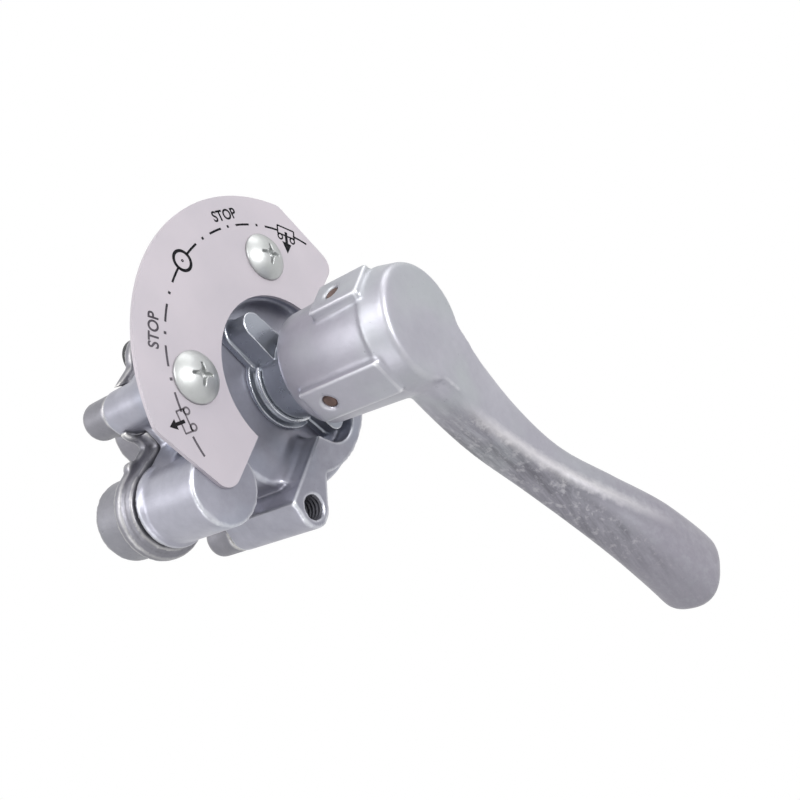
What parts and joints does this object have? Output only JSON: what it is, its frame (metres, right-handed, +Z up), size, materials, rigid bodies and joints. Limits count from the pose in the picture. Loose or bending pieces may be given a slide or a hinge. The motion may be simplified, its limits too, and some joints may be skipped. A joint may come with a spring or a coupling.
{
  "type": "leveling valve",
  "caption": "Hand-operated raise and lower levelling valve for air suspension, with a swinging lever, a marked dial plate and threaded air ports.",
  "frame": {"origin": "on the shaft's axis, in the plane of the machined faces that rest on the vehicle's bracket", "axes": "+Z up the dial, +X to the right as seen from the lever's side, the shaft along Y with the lever in front at -Y, the ports behind at +Y"},
  "size_m": [0.0992, 0.1083, 0.1755],
  "materials": {
    "cast_body": "as-cast and tumbled aluminium, satin, cool grey",
    "cast_cover": "as-cast aluminium, rougher and darker grey",
    "cast_sleeve": "as-cast aluminium, bluish satin with machined neck",
    "cast_lever": "die-cast aluminium, satin, mottled and slightly pitted",
    "dial_sheet": "satin pinkish grey sheet with printed dial marks",
    "zinc_screw": "bright zinc plating",
    "machined_steel": "ground and turned steel",
    "spring_wire": "drawn spring wire",
    "pin_steel": "browned spring-pin steel",
    "bearing_bronze": "turned bronze",
    "seal_rubber": "black nitrile rubber",
    "slide_ceramic": "lapped grey slide material",
    "filter_bronze": "sintered bronze",
    "cap_rubber": "moulded black rubber"
  },
  "bodies": {
    "valve_body": {"front_housing": "cast_body", "rear_cover": "cast_cover", "body_gasket": "seal_rubber", "cover_screws": "zinc_screw", "dial_plate": "dial_sheet", "dial_screws": "zinc_screw", "guide_sleeve": "cast_sleeve", "sleeve_screws": "machined_steel", "sleeve_bush": "bearing_bronze", "neck_ring": "machined_steel", "shaft_seal": "seal_rubber", "rear_bush": "bearing_bronze", "port_plate": "machined_steel", "port_seals": "seal_rubber", "locating_pins": "machined_steel", "thrust_washer": "bearing_bronze", "detent_ball": "machined_steel", "detent_spring": "spring_wire", "detent_plug": "zinc_screw", "press_spring": "spring_wire", "inlet_seat": "bearing_bronze", "check_spring": "spring_wire", "spring_cap": "bearing_bronze", "inlet_filter": "filter_bronze", "exhaust_cap": "cap_rubber"},
    "rotor": {"slide_disc": "slide_ceramic", "wave_spring": "spring_wire", "detent_wheel": "machined_steel"},
    "lever_unit": {"hand_lever": "cast_lever", "lever_pins": "pin_steel", "drive_shaft": "machined_steel"},
    "check_unit": {"check_poppet": "bearing_bronze", "poppet_seal": "seal_rubber"}
  },
  "joints": [
    {"name": "lever_turn", "type": "hinge", "parent": "valve_body", "child": "rotor", "pos_m": [0, 0, 0], "axis": [0, -1, 0], "range_deg": [-60, 60]},
    {"name": "lever_press", "type": "slide", "parent": "rotor", "child": "lever_unit", "axis": [0, 1, 0], "range_m": [0, 0.002], "stiffness_N_per_m": 3000, "springref_m": -0.005, "deforming": ["press_spring"]},
    {"name": "check_lift", "type": "slide", "parent": "valve_body", "child": "check_unit", "axis": [0, -1, 0], "range_m": [0, 0.0025], "stiffness_N_per_m": 800, "springref_m": -0.002, "deforming": ["check_spring"]}
  ]
}
